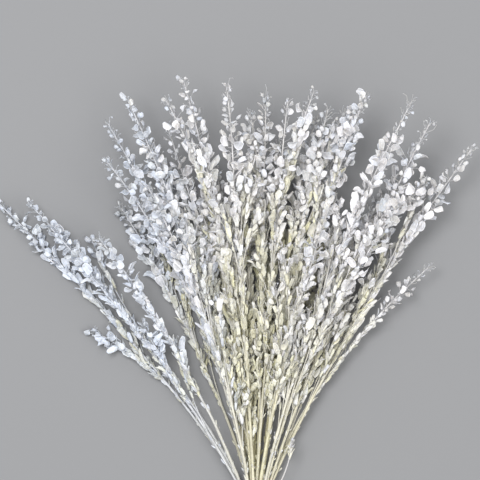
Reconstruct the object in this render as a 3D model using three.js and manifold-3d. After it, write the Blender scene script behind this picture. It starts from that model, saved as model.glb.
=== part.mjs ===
// A bunch of bleached, preserved leafy stems, tied near the cut ends and laid on a surface.
// Millimetres. The origin is on the surface under the tie, +Y runs along the stems to their tips, +Z is up.
import * as THREE from "three";
import { mergeVertices } from "three/addons/utils/BufferGeometryUtils.js";
import Module from "manifold-3d";

// Stems
const CUT_LENGTH = 98; // from the tie down to the cut ends
const CUT_UNEVENNESS = 9;
const CUT_SPREAD = 0.3; // how much wider the bundle is at the cut ends than at the tie
const STEM_RADIUS_CUT = 1.85;
const STEM_RADIUS_TIE = 1.7;
const STEM_RADIUS_TIP = 0.8;
const STEM_SIDES = 5;
const STEM_STATIONS = [0.06, 0.18, 0.32, 0.48, 0.65, 0.82, 1]; // shares of the way from the tie to the tip
const FORK_STATIONS = [0, 0.25, 0.5, 0.75, 1];
const FORK_RADIUS_SHARE = 0.8; // of the stem's own radius where the fork leaves it
const FORK_TURN = 0.45; // share of its length over which a fork still follows its stem
const FORK_LIFT = 0.8; // how far a fork rises, as a share of what is left for its stem to rise

// Bundle at the tie: flat layers of stems, one on another
const STEM_PITCH = 3.9;
const TIE_INNER_RADIUS = 13.7;
const TIE_THICKNESS = 1.5;
const TIE_WIDTH = 13;
const TIE_SIDES = 24;
const HELD_STRAIGHT = TIE_WIDTH / 2 + 1.5; // either way from the middle of the tie
const BUNDLE_HEIGHT = TIE_INNER_RADIUS + TIE_THICKNESS; // of the bundle's centre above the surface
const TIE_TURN = 0.05; // share of the stem over which it turns outward
const LIFT_ARCH = 0.4; // as arch below, for the height

// Leaflets
const LEAFLET_LENGTH = 12.5;
const LEAFLET_WIDTH = 9.4;
const LEAFLET_MIDRIB = 0.9;
const LEAFLET_CUP = 0.35;
const STALK_LENGTH = 9.5;
const STALK_RADIUS = 0.55;
const LEAFLET_PITCH = 24; // along the stem
const FIRST_LEAFLET = 0.34; // share of the way from the tie to the tip
const FIRST_FORK_LEAFLET = 0.16;
const LAST_LEAFLET = 0.995;
const SLIM_TO = 0.25; // shares of the leafy part: up to here the leaflets are slim and close to the stem
const OPEN_FROM = 0.75; // and from here they are broad and stand well out
const SLIM_WIDTH = 0.62;
const SLIM_STALK = 0.5;
const SLIM_STALK_ANGLE = 0.6;
const SLIM_BLADE_ANGLE = 0.4;
const SLIM_ROLL = 0.4;
const YOUNG_FROM = 0.78; // share of the leafy part: above it the leaflets get smaller
const YOUNG_SIZE = 0.5;
const YOUNG_STALK_RADIUS = 0.75;
const SHOULDER_AT = 0.38; // shares of the blade's length and width
const UPPER_AT = 0.8;
const UPPER_WIDTH = 0.74;
const SIZE_SPREAD = 0.12; // how far single leaflets differ
const ANGLE_SPREAD = 0.2;
const ROLL_SPREAD = 0.5;
const SPIRAL_STEP = 2; // flats of the stem from one leaflet to the next
const STALK_ANGLE = 1.15; // between stalk and stem, in radians
const BLADE_ANGLE = 0.55; // between blade and stem
const CLEARANCE = 0.7;
const BALL_STEP = 2.5; // the balls that stand for a stem, and how much wider than a stalk its balls are
const BALL_MARGIN = 1.3;
const WELD = 1e-4; // points closer than this are one
const MOST_SETTLING = 9; // how far a leaflet may be pressed up by the surface it lies on
const SEED = 20263;

// Each layer, from the surface up: the height of its tips, then its stems from left to right.
// tip: where the stem ends, seen from above. arch: 0 for a straight stem, 1 for one that arches all the way.
// fork: where a side branch ends, and the share of the stem at which it leaves.
const LAYERS = [
  {
    tipHeight: 9,
    stems: [
      { tip: [-293, 356], arch: 0.25, fork: { tip: [-178, 206], from: 0.33 } },
      { tip: [-151, 348], arch: 0.35 },
      { tip: [26, 418], arch: 0.45 },
      { tip: [142, 363], arch: 0.35 },
    ],
  },
  {
    tipHeight: 27,
    stems: [
      { tip: [-255, 354], arch: 0.3 },
      { tip: [-114, 416], arch: 0.5 },
      { tip: [-12, 396], arch: 0.45 },
      { tip: [92, 418], arch: 0.45 },
      { tip: [197, 284], arch: 0.6 },
    ],
  },
  {
    tipHeight: 46,
    stems: [
      { tip: [-230, 326], arch: 0.25, fork: { tip: [-124, 214], from: 0.3 } },
      { tip: [-165, 441], arch: 0.55 },
      { tip: [-99, 436], arch: 0.55 },
      { tip: [-45, 391], arch: 0.45 },
      { tip: [66, 446], arch: 0.45 },
      { tip: [240, 413], arch: 0.25 },
    ],
  },
  {
    tipHeight: 65,
    stems: [
      { tip: [-175, 315], arch: 0.35 },
      { tip: [-144, 468], arch: 0.55 },
      { tip: [-62, 407], arch: 0.5 },
      { tip: [11, 471], arch: 0.4, fork: { tip: [-6, 446], from: 0.6 } },
      { tip: [80, 457], arch: 0.5, fork: { tip: [96, 446], from: 0.66 } },
      { tip: [194, 441], arch: 0.25, fork: { tip: [186, 373], from: 0.55 } },
    ],
  },
  {
    tipHeight: 84,
    stems: [
      { tip: [-167, 400], arch: 0.85 },
      { tip: [-80, 487], arch: 0.7, fork: { tip: [-98, 460], from: 0.6 } },
      { tip: [35, 464], arch: 0.2, fork: { tip: [62, 467], from: 0.66 } },
      { tip: [122, 473], arch: 0.5, fork: { tip: [108, 450], from: 0.68 } },
      { tip: [161, 352], arch: 0.6 },
    ],
  },
  {
    tipHeight: 104,
    stems: [
      { tip: [-121, 372], arch: 0.6 },
      { tip: [-32, 480], arch: 0.2 },
      { tip: [81, 347], arch: 0.45 },
      { tip: [171, 463], arch: 0.4 },
    ],
  },
];

const STEM_MATERIAL = new THREE.MeshStandardMaterial({ color: 0xdedac6, roughness: 0.7, metalness: 0 });
const TIE_MATERIAL = new THREE.MeshStandardMaterial({ color: 0xc4ab7c, roughness: 0.8, metalness: 0 });
const UP = new THREE.Vector3(0, 0, 1);
const { lerp, smoothstep, clamp } = THREE.MathUtils;

const wasm = await Module();
wasm.setup();

// A repeatable stream of numbers from 0 to 1.
function seededRandom(seed) {
  let state = seed >>> 0;
  return () => {
    state = (Math.imul(state, 1664525) + 1013904223) >>> 0;
    return state / 4294967296;
  };
}

const random = seededRandom(SEED);
const spread = (amount) => amount * (2 * random() - 1);

// A closed surface through rings of points, each counter-clockwise about the way along, with two end points.
function loft(rings, start, end) {
  const sides = rings[0].length;
  const points = [start, ...rings.flat(), end];
  const at = (ring, side) => 1 + ring * sides + (side % sides);
  const last = rings.length - 1;
  const faces = [];
  for (let side = 0; side < sides; side++) {
    faces.push(0, at(0, side + 1), at(0, side));
    for (let ring = 0; ring < last; ring++) {
      faces.push(at(ring, side), at(ring, side + 1), at(ring + 1, side + 1));
      faces.push(at(ring, side), at(ring + 1, side + 1), at(ring + 1, side));
    }
    faces.push(points.length - 1, at(last, side), at(last, side + 1));
  }
  return new THREE.BufferGeometry().setFromPoints(points).setIndex(faces);
}

// A geometry as a solid that can be joined to others, and a solid as a geometry.
function toSolid(geometry) {
  const merged = mergeVertices(geometry, WELD);
  return new wasm.Manifold(
    new wasm.Mesh({
      numProp: 3,
      vertProperties: new Float32Array(merged.attributes.position.array),
      triVerts: new Uint32Array(merged.index.array),
    }),
  );
}

function toGeometry(solid) {
  const mesh = solid.getMesh();
  const geometry = new THREE.BufferGeometry();
  geometry.setAttribute("position", new THREE.BufferAttribute(mesh.vertProperties, 3));
  geometry.setIndex(new THREE.BufferAttribute(mesh.triVerts, 1));
  geometry.computeVertexNormals();
  return geometry;
}

// Two directions across the way along, with side x over = along.
function across(along) {
  const side = new THREE.Vector3().crossVectors(along, UP).normalize();
  return { side, over: new THREE.Vector3().crossVectors(along, side) };
}

// Straight pieces through a list of points, measured by length.
function polyline(points) {
  const path = new THREE.CurvePath();
  for (let i = 1; i < points.length; i++) path.add(new THREE.LineCurve3(points[i - 1], points[i]));
  return path;
}

// How far out a stem has gone at a share of its way: it turns at the tie, then runs straight or arches.
function outward(share, arch) {
  const straight = (Math.hypot(share, TIE_TURN) - TIE_TURN) / (Math.hypot(1, TIE_TURN) - TIE_TURN);
  return lerp(straight, share * share, arch);
}

// The centreline of a stem from its cut end, through its place in the tie, to its tip.
function stemPoints(place, tip, arch) {
  const cut = -CUT_LENGTH + spread(CUT_UNEVENNESS);
  const wider = 1 + CUT_SPREAD;
  const points = [
    new THREE.Vector3(place.x * wider, cut, BUNDLE_HEIGHT + (place.z - BUNDLE_HEIGHT) * wider),
    new THREE.Vector3(place.x, -HELD_STRAIGHT, place.z),
    new THREE.Vector3(place.x, HELD_STRAIGHT, place.z),
  ];
  for (const share of STEM_STATIONS) {
    const x = lerp(place.x, tip.x, outward(share, arch));
    const z = lerp(place.z, tip.z, outward(share, LIFT_ARCH));
    points.push(new THREE.Vector3(x, lerp(HELD_STRAIGHT, tip.y, share), z));
  }
  return points;
}

// The centreline of a side branch, which starts along its stem and turns to its own tip.
function forkPoints(start, along, tip) {
  const turn = start.clone().addScaledVector(along, FORK_TURN * start.distanceTo(tip));
  const curve = new THREE.QuadraticBezierCurve3(start, turn, tip);
  return FORK_STATIONS.map((share) => curve.getPoint(share));
}

// A tapering round stem through the points.
function stemGeometry(points, radii) {
  const rings = points.map((point, i) => {
    const before = points[Math.max(i - 1, 0)];
    const after = points[Math.min(i + 1, points.length - 1)];
    const { side, over } = across(new THREE.Vector3().subVectors(after, before).normalize());
    return Array.from({ length: STEM_SIDES }, (_, k) => {
      const angle = (2 * Math.PI * k) / STEM_SIDES;
      return point
        .clone()
        .addScaledVector(side, radii[i] * Math.cos(angle))
        .addScaledVector(over, radii[i] * Math.sin(angle));
    });
  });
  return loft(rings, points[0].clone(), points.at(-1).clone());
}

// A leaflet's form along the leafy part, from 0 at the lowest to 1 at the tip.
function leafletForm(share) {
  const open = smoothstep(share, SLIM_TO, OPEN_FROM);
  const young = smoothstep(share, YOUNG_FROM, 1);
  const size = lerp(1, YOUNG_SIZE, young) * (1 + spread(SIZE_SPREAD));
  return {
    length: LEAFLET_LENGTH * size,
    halfWidth: (LEAFLET_WIDTH / 2) * size * lerp(SLIM_WIDTH, 1, open),
    stalk: STALK_LENGTH * lerp(SLIM_STALK, 1, open) * size,
    stalkRadius: STALK_RADIUS * lerp(1, YOUNG_STALK_RADIUS, young),
    stalkAngle: STALK_ANGLE * lerp(SLIM_STALK_ANGLE, 1, open) + spread(ANGLE_SPREAD),
    bladeAngle: BLADE_ANGLE * lerp(SLIM_BLADE_ANGLE, 1, open) + spread(ANGLE_SPREAD),
    roll: spread(ROLL_SPREAD),
    mostRoll: lerp(SLIM_ROLL, 1, open),
  };
}

// One leaflet at a point of the stem, turned round the stem by an angle, and the balls that enclose it.
// The thin stalk starts inside the stem. The blade has a raised midrib and turns its broad side up.
function leaflet(root, along, turn, form) {
  const { side, over } = across(along);
  const out = side.clone().multiplyScalar(Math.cos(turn)).addScaledVector(over, Math.sin(turn));
  const lean = (angle) => along.clone().multiplyScalar(Math.cos(angle)).addScaledVector(out, Math.sin(angle));
  const [stalkWay, bladeWay] = [lean(form.stalkAngle), lean(form.bladeAngle)];
  const stalkFace = lean(form.stalkAngle + Math.PI / 2);
  const bladeFace = lean(form.bladeAngle + Math.PI / 2);
  const wing = new THREE.Vector3().crossVectors(bladeFace, bladeWay);
  const toUp = Math.atan(-UP.dot(wing) / (UP.dot(bladeFace) || 1e-6));
  const roll = clamp(toUp + form.roll, -form.mostRoll, form.mostRoll);
  const neck = root.clone().addScaledVector(stalkWay, form.stalk);

  const ring = (centre, face, turned, halfWidth, rib, cup) => {
    const wings = wing.clone().applyAxisAngle(bladeWay, turned);
    const up = face.clone().applyAxisAngle(bladeWay, turned);
    const edge = (sign) => centre.clone().addScaledVector(wings, sign * halfWidth).addScaledVector(up, -cup);
    return [edge(1), centre.clone().addScaledVector(up, rib), edge(-1)];
  };
  const stalkRing = (centre) =>
    ring(centre, stalkFace, 0, (form.stalkRadius * Math.sqrt(3)) / 2, form.stalkRadius, form.stalkRadius / 2);
  const alongBlade = (share) => neck.clone().addScaledVector(bladeWay, share * form.length);
  const bladeRing = (share, width, rib) =>
    ring(alongBlade(share), bladeFace, roll, width, rib, LEAFLET_CUP);
  const rings = [
    stalkRing(root),
    stalkRing(neck),
    bladeRing(SHOULDER_AT, form.halfWidth, LEAFLET_MIDRIB),
    bladeRing(UPPER_AT, form.halfWidth * UPPER_WIDTH, LEAFLET_MIDRIB * UPPER_AT),
  ];
  const tip = alongBlade(1);

  // Where the blade would sink into the surface, the stalk gives and the blade lies on it.
  const free = [...rings.slice(1).flat(), tip];
  const lift = -Math.min(0, ...free.map((point) => point.z));
  for (const point of free) point.z += lift;
  const middle = alongBlade(0.5);
  middle.z += lift;
  const balls = [{ centre: middle, radius: form.length / 2 + STALK_RADIUS }];
  for (const share of [0.5, 0.75, 1]) {
    const centre = root.clone().addScaledVector(stalkWay, share * form.stalk);
    centre.z += lift * share;
    balls.push({ centre, radius: STALK_RADIUS * BALL_MARGIN });
  }
  return { geometry: loft(rings, root.clone(), tip), balls, lift };
}

// The balls that a stem fills, close together along its centreline.
function stemBalls(path, radiusAt) {
  const count = Math.ceil(path.getLength() / BALL_STEP);
  return Array.from({ length: count + 1 }, (_, i) => {
    const share = i / count;
    return { centre: path.getPointAt(share), radius: radiusAt(share) };
  });
}

// The stems and side branches of every layer, with no leaflets yet.
function layOutStems() {
  const stems = [];
  LAYERS.forEach((layer, level) => {
    const levelHeight = BUNDLE_HEIGHT + (level - (LAYERS.length - 1) / 2) * STEM_PITCH;
    layer.stems.forEach((spec, i) => {
      const place = new THREE.Vector3((i - (layer.stems.length - 1) / 2) * STEM_PITCH, 0, levelHeight);
      const tip = new THREE.Vector3(...spec.tip, layer.tipHeight);
      const points = stemPoints(place, tip, spec.arch);
      const radii = [STEM_RADIUS_CUT, STEM_RADIUS_TIE, STEM_RADIUS_TIE];
      for (const share of STEM_STATIONS) radii.push(lerp(STEM_RADIUS_TIE, STEM_RADIUS_TIP, share));
      const upper = polyline(points.slice(2));
      const branches = [{ points, radii, path: upper, thick: STEM_RADIUS_TIE, first: FIRST_LEAFLET }];
      if (spec.fork) {
        const start = upper.getPointAt(spec.fork.from);
        const along = upper.getTangentAt(spec.fork.from);
        const forkTip = new THREE.Vector3(...spec.fork.tip, lerp(start.z, layer.tipHeight, FORK_LIFT));
        const thick = FORK_RADIUS_SHARE * lerp(STEM_RADIUS_TIE, STEM_RADIUS_TIP, spec.fork.from);
        const side = forkPoints(start, along, forkTip);
        const sideRadii = FORK_STATIONS.map((share) => lerp(thick, STEM_RADIUS_TIP, share));
        branches.push({
          points: side,
          radii: sideRadii,
          path: polyline(side),
          thick,
          first: FIRST_FORK_LEAFLET,
        });
      }
      stems.push({ name: `leafy_stem_${String(stems.length + 1).padStart(2, "0")}`, branches });
    });
  });
  return stems;
}

const stems = layOutStems();
const filled = []; // what is taken so far: balls, each with the stem that it belongs to
for (const stem of stems) {
  stem.solids = [];
  for (const { points, radii, path, thick } of stem.branches) {
    stem.solids.push(toSolid(stemGeometry(points, radii)));
    const balls = stemBalls(path, (share) => lerp(thick, STEM_RADIUS_TIP, share));
    filled.push(...balls.map((ball) => ({ ...ball, stem, bare: true })));
  }
}

// True where a leaflet stands clear of every other stem, and of all leaflets.
function isClear(balls, stem) {
  return balls.every((ball) =>
    filled.every(
      (other) =>
        (other.stem === stem && other.bare) ||
        other.centre.distanceTo(ball.centre) > other.radius + ball.radius + CLEARANCE,
    ),
  );
}

// Sets the leaflets of one branch in a spiral. One that would cross another piece is turned to a free side.
function growLeaflets(stem, branch) {
  const length = branch.path.getLength();
  const count = Math.floor((length * (1 - branch.first)) / LEAFLET_PITCH);
  const firstFlat = Math.floor(random() * STEM_SIDES);
  for (let i = 0; i <= count; i++) {
    const share = i / count;
    const at = lerp(branch.first, LAST_LEAFLET, share);
    const root = branch.path.getPointAt(at);
    const along = branch.path.getTangentAt(at);
    const form = leafletForm(share);
    for (let attempt = 0; attempt < STEM_SIDES; attempt++) {
      const flat = firstFlat + SPIRAL_STEP * (i + attempt);
      const turn = (2 * Math.PI * (flat + 0.5)) / STEM_SIDES;
      const made = leaflet(root, along, turn, form);
      if (made.lift > MOST_SETTLING || !isClear(made.balls, stem)) continue;
      stem.solids.push(toSolid(made.geometry));
      filled.push(...made.balls.map((ball) => ({ ...ball, stem })));
      break;
    }
  }
}

// The band that holds the stems together, with one of its flats on the surface.
function tieGeometry() {
  const flatToCorner = 1 / Math.cos(Math.PI / TIE_SIDES);
  const outline = (radius) =>
    Array.from({ length: TIE_SIDES }, (_, k) => {
      const angle = (2 * Math.PI * (k + 0.5)) / TIE_SIDES - Math.PI / 2;
      return new THREE.Vector2(Math.cos(angle), Math.sin(angle)).multiplyScalar(radius * flatToCorner);
    });
  const band = new THREE.Shape(outline(BUNDLE_HEIGHT));
  band.holes.push(new THREE.Path(outline(TIE_INNER_RADIUS)));
  const geometry = new THREE.ExtrudeGeometry(band, { depth: TIE_WIDTH, bevelEnabled: false });
  geometry.deleteAttribute("normal");
  geometry.deleteAttribute("uv");
  return mergeVertices(geometry, WELD);
}

const bunch = new THREE.Group();
bunch.name = "preserved_bunch";

const tie = new THREE.Mesh(tieGeometry(), TIE_MATERIAL);
tie.name = "tie";
tie.rotation.x = Math.PI / 2;
tie.position.set(0, TIE_WIDTH / 2, BUNDLE_HEIGHT);
bunch.add(tie);

for (const stem of stems) {
  for (const branch of stem.branches) growLeaflets(stem, branch);
  const mesh = new THREE.Mesh(toGeometry(wasm.Manifold.union(stem.solids)), STEM_MATERIAL.clone());
  mesh.name = stem.name;
  bunch.add(mesh);
}

export default bunch;
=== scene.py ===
"""A bunch of bleached, preserved stems with papery pods, tied and laid on a pale surface. Metres, +Z up."""
import math

import bpy
import numpy as np
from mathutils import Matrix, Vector


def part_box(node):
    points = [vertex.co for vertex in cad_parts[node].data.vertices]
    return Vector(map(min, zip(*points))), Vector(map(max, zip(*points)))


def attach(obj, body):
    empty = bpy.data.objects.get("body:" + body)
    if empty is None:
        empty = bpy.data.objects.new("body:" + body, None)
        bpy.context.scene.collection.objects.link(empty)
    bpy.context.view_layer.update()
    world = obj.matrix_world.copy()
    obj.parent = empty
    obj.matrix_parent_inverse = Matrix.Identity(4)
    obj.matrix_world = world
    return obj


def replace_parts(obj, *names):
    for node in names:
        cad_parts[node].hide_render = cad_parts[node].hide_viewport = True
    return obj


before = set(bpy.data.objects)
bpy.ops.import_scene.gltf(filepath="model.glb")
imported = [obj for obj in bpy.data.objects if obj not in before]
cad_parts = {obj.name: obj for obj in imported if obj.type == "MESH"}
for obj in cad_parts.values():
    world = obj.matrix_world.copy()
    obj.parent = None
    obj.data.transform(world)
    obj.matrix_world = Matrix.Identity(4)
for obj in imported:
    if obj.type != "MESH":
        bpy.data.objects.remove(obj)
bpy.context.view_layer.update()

MM = 0.001
SEED = 4107
FULL_TURN = 2 * math.pi
GOLDEN_ANGLE = math.pi * (3 - math.sqrt(5))
UP = np.array((0.0, 0.0, 1.0))

# Picture: 480 elements square, each 1.1 mm wide, with its middle this far from the tie
PICTURE_SIDE = 480 * 1.1 * MM
PICTURE_CENTRE = Vector((-17.6, 308, 46)) * MM
CAMERA_DISTANCE = 5.0
CLIP_END = 20

# Bundle, and the run of its stems. A pair of shares of the way says where a change starts and is complete.
HELD_STRAIGHT = 8 * MM
STEM_PITCH = 3.9 * MM
BUNDLE_HEIGHT = 15.2 * MM
TIE_TURN = 0.05
LIFT_ARCH = 0.4
CUT_SPREAD = 0.3
STEM_STEP = 3.5 * MM
POINTS_BELOW_TIE = 26
POINTS_IN_TIE = 3
TIP_ROOM = 6 * MM
FORK_TURN = 0.45
FORK_LIFT = 0.8
FORK_RADIUS_SHARE = 0.85
WOBBLE = 0.8 * MM
WOBBLE_SHARE = (0.5, 1)
WOBBLE_PACE = (12, 24)
LOOSE = (0.08, 0.45)

# Form of a stem
STEM_RADIUS_CUT = 1.9 * MM
STEM_RADIUS_TIE = 1.7 * MM
STEM_RADIUS_TIP = 0.55 * MM
STEM_THICKNESS_SPREAD = (0.85, 1.13)
STEM_TAPER = 0.9
STEM_SIDES = 8
SIDE_STEM_SIDES = 6
STEM_RIB = 0.09
STREAK_SHIFT = 30
JOINT_PITCH = 26 * MM
JOINT_SHARPNESS = 4
JOINT_UNEVENNESS = (0.8, 0.7)
JOINT_SWELLING = 0.2
BETWEEN_JOINTS = 0.97
JOINTED = (0.02, 0.1)

# Hollow at a cut end: its depth at the edge and the middle, its width, and how dark the painted shade in it
# is, as shares
PITH_DEPTHS = (0.35, 0.5)
PITH_WIDTH = 0.6
HOLLOW_PAINTED_SHADES = (0.6, 0.45)

# Pods: where they grow along a branch, how close, and their size. Outer tips are in metres from the middle.
POD_LENGTH = 9.9 * MM
POD_WIDTH = 8.1 * MM
POD_PITCH = 2.15 * MM
FIRST_POD = 0.26
FIRST_OUTER_POD = 0.33
FIRST_FORK_POD = 0.08
OUTER_TIPS = (0.13, 0.22)
PLACE_STEPS = 201
FOOT_DENSITY = 0.2
DENSE = (0, 0.25)
TIP_DENSITY = 0.8
THINNED = (0.55, 1)
PLACE_SPREAD = 0.9
FOOT_SIZE = 0.5
GROWN = (-0.05, 0.25)
SIZE_SPREAD = 0.18
SIZE_LIMITS = (0.6, 1.4)
WIDTH_SPREAD = (0.8, 1.12)

# Where pods change from slim and upright to open, then the slim and the open value of each measure
OPENED = (0.42, 0.86)
OPEN_WIDTH = (0.62, 1)
OPEN_LENGTH = (1.58, 1)
OPEN_STALK = (0.45, 1)
STALK_ANGLE = (0.3, 1.0)
BLADE_ANGLE = (0.04, 0.66)
BLADE_SPREAD = (0.07, 0.3)
STRAY = (0.07, 0.24)
FOLDED = (0.5, 0.3)

# Young, fallen and dangling pods. Size when young and share fallen are for a full and for a wispy tip.
YOUNG_FROM = 0.8
YOUNG_SIZE = (0.72, 0.36)
YOUNG_STALK = 0.6
YOUNG_STALK_TURN = 0.4
FALLEN = 0.05
FALLEN_AT_TIP = (0.12, 0.65)
BARE_STALK = 2.1
BARE_CURL = (-0.8, 2.6)
DANGLING = 0.07
DANGLING_STALK = (1.6, 2.3)

# Tuft of buds at a tip
TUFT_BUDS = 14
TUFT_FROM = 0.95
BUD_SIZE = (0.1, 0.26)
BUD_WIDTH = 0.6
BUD_STALK = (3, 9)  # millimetres
BUD_ANGLE = (0, 2)

# Stalks
STALK_LENGTH = 6.8 * MM
STALK_RADIUS = 0.36 * MM
STALK_SPREAD = (0.7, 1.25)
STALK_ANGLE_SPREAD = 0.2
STALK_BEND = 0.45
STALK_TAPER = (1.3, 0.8)
STALK_RADIUS_LIMITS = (0.85, 1.1)
STALK_IN_POD = 0.4 * MM
STALK_STREAK = 10 * MM
OFF_UPRIGHT = 1e-3

# Room for the pods, which settle on the freest side of their stem and roll partly towards facing up
SIDES_TRIED = 5
SIDE_SPREAD = 0.2
TURN_SPREAD = 0.3
KEEP_TURN = 0.12
NEARBY = 30 * MM
POD_ROOM = 0.34
STEM_ROOM = 1.5 * MM
STEM_POINTS_APART = 3
MOST_TAKEN = 20000
FLOOR_GAP = 0.3 * MM
LOWEST_NECK = 1.0 * MM
FLOOR_ROOM = 4 * MM
FACING_UP = 0.7
MOST_ROLL = 1.5
ROLL_SPREAD = 0.45

# Form of a pod: blunt outline with lobes and a notch, then folds, waves, creases, a bend and a twist
POD_THICKNESS = 0.33 * MM
FULL_THICKNESS_HALF_WIDTH = 4 * MM
LEAST_THICKNESS = 0.5
POD_BLUNT = 0.82
POD_LOBES = ((2, 0.12), (3, 0.12), (5, 0.07))
NOTCH_DEPTH = (-0.16, 0.07)
NOTCH_WIDTH = 0.42
POD_TAPER = (-0.15, 0.4)
FOLD_SLOPE = (0.3, 1.1)
FOLD_SHIFT = 0.4
POD_CUP = (-0.25, 0.5)
POD_WAVES = ((3, 0.25), (5, 0.14))
CREASES = 3
CREASE_SLOPE = 0.62
POD_BEND = 0.28
MOST_BEND = 0.5
POD_TWIST = 0.45

# Rings of a pod from the middle of its upper face over its edge to the lower: share of radius, height
FINE_RINGS = [(0.45, 0.9), (0.78, 0.4), (0.91, 1.0), (1.0, 0.0), (0.91, -1.0), (0.78, -0.4), (0.45, -0.9)]
PLAIN_RINGS = [(0.5, 0.9), (0.86, 0.9), (1.0, 0.0), (0.86, -0.9), (0.5, -0.9)]
BUD_RINGS = [(0.6, 0.9), (1.0, 0.0), (0.6, -0.9)]
FINE_SIDES = 14
PLAIN_SIDES = 11
SLIM_SIDES = 8
BUD_SIDES = 6
FINE_HALF_WIDTH = 3.75 * MM
PLAIN_HALF_WIDTH = 3.15 * MM
BUD_LENGTH = 4 * MM

# Side shoots on the lower part of a stem, fewer on the left and more on the right
SHOOTS = (4, 7)
RIGHT_SHOOTS = (6, 10)
LEFT_SHOOTS = (0, 2)
APART = 0.6
INWARD_SHOOTS_FROM = 0.1
SHOOT_LENGTH = (45 * MM, 150 * MM)
SHOOT_ANGLE = (0.05, 0.26)
SHOOT_FROM = (0.1, 0.58)
SHOOT_TURN = 0.5
SHOOT_FLATNESS = 0.5
SHOOT_RADIUS = 0.75 * MM
SHOOT_TIP_SHARE = 0.5
SHOOT_STEP = 6 * MM
SHOOTS_TRIED = 10
FIRST_SHOOT_POD = 0.4
SHOOT_PODS = {"pitch": 3.3 * MM, "tuft": 5, "scale": 0.95, "spread": 0.95}
SHOOT_MOST_OPEN = 0.8

# Smaller pods on stems that end this many metres from the tie, and shorter stalks there and on the left
LOW_TIP = (0.27, 0.33)
LOW_TIP_SIZE = 0.66
CLOSE_STALK = 0.75

# One short, nearly bare shoot that leaves its stem right above the tie
LOW_SHOOT_STEM = "leafy_stem_21"
LOW_SHOOT_TURN = (36 * MM, 48 * MM, 22 * MM)
LOW_SHOOT_TIP = (40 * MM, 84 * MM, 30 * MM)
LOW_SHOOT_POINTS = 24
LOW_SHOOT_RADII = (1.2 * SHOOT_RADIUS, 0.8 * SHOOT_RADIUS)
LOW_SHOOT_COLOUR_AT = 0.5
FIRST_LOW_SHOOT_POD = 0.7
LOW_SHOOT_PODS = {"pitch": 1.2 * MM, "tuft": 6, "scale": 0.5, "spread": 0.45, "most_open": 0.6}

# Dry leaf remains on the bare foot of a stem
BRACT_PITCH = 11 * MM
BRACTS_FROM = 0.05
BRACT_LENGTH = (4 * MM, 10 * MM)
BRACT_HALF_WIDTH = (0.55 * MM, 1.2 * MM)
BRACT_STALK_ANGLE = 1.1
BRACT_ANGLE = 0.12
BRACT_SPREAD = 0.14
BRACT_ANGLE_LIMITS = (0.02, 0.6)
BRACT_FOLDED = 0.7

# Each layer from the surface up: the height of its tips, then its stems from left to right, in millimetres.
# A stem has its tip seen from above, how much it arches, and for a side branch its tip and where it leaves.
LAYERS = [
    (9, [((-293, 356), 0.25, ((-178, 206), 0.33)), ((-151, 348), 0.35), ((26, 418), 0.45),
         ((142, 363), 0.35)]),
    (27, [((-255, 354), 0.3), ((-114, 416), 0.5), ((-12, 396), 0.45), ((92, 418), 0.45),
          ((197, 284), 0.6)]),
    (46, [((-230, 326), 0.25, ((-124, 214), 0.3)), ((-165, 441), 0.55), ((-99, 436), 0.55),
          ((-45, 391), 0.45), ((66, 446), 0.45), ((240, 413), 0.25)]),
    (65, [((-175, 315), 0.35), ((-144, 468), 0.55), ((-62, 407), 0.5), ((11, 471), 0.4, ((-6, 446), 0.6)),
          ((80, 457), 0.5, ((96, 446), 0.66)), ((194, 441), 0.25, ((186, 373), 0.55))]),
    (84, [((-167, 400), 0.85), ((-80, 487), 0.7, ((-98, 460), 0.6)), ((35, 464), 0.2, ((62, 467), 0.66)),
          ((122, 473), 0.5, ((108, 450), 0.68)), ((161, 352), 0.6)]),
    (104, [((-121, 372), 0.6), ((-32, 480), 0.2), ((81, 347), 0.45), ((171, 463), 0.4)]),
]

# Colours of the bleached plant and of the tie
COOL_WHITE = np.array((0.82, 0.87, 0.96))
SOFT_WHITE = np.array((0.945, 0.925, 0.93))
WARM_WHITE = np.array((0.955, 0.915, 0.64))
PALE_STRAW = np.array((0.93, 0.89, 0.70))
DEEP_STRAW = np.array((0.84, 0.76, 0.36))
DARK_RAFFIA = np.array((0.56, 0.41, 0.21))
PALE_RAFFIA = np.array((0.74, 0.63, 0.42))

# Colour across the bunch: a painted cast of cool light on the left, paler on the right, yellower deep
# inside. Tips are in metres.
COOL_LIGHT_TIP = (0.03, 0.25)
RIGHT_TIP = (0.08, 0.2)
DEEP_BY_DEPTH = 0.85
DEEP_SPREAD = (-0.15, 0.35)
STRAW_SHADES = (0.95, 1.05)
WARMER_BY_DEPTH = 0.5
EVEN_DEPTH = 0.2
# Painted cool light: stems and pods on the left are made less warm and less yellow
COOLER_LEFT = 0.7
COOLER_RIGHT = 0.4
COOL_LIGHT_LESS_YELLOW = 0.85
BLEACHED_RIGHT = 0.35

# Colour along a stem or branch: pairs of values at foot and tip, of shares of the way, or of draws
STEM_YELLOW = (1.0, 0.08)
STEM_WHITENS = (0.2, 0.85)
STEM_COOL_LIGHT = 0.6
STEM_SHADE = 0.97
POD_WARMTH = (0.72, 0.03)
POD_WHITENS = (0.14, 0.74)
ALIKE_AT_TIP = (0.4, 0.85)
WARMTH_SPREAD = (0.22, 0.06)
SPREAD_NARROWS = (0.3, 0.8)
COOL_AT_TIP = 0.3
POD_COOLS = (0.55, 1.0)
COOL_SPREAD = 0.25
POD_SHADES = (0.88, 1.02)
TIP_SHADE = 0.86
TIP_DARKENS = (0.65, 1.0)
STALK_YELLOW = (0.8, 0.05)
STALK_WHITENS = (0, 0.7)
STALK_YELLOW_SPREAD = 0.1
STALK_SHADES = (0.86, 1.0)

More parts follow.
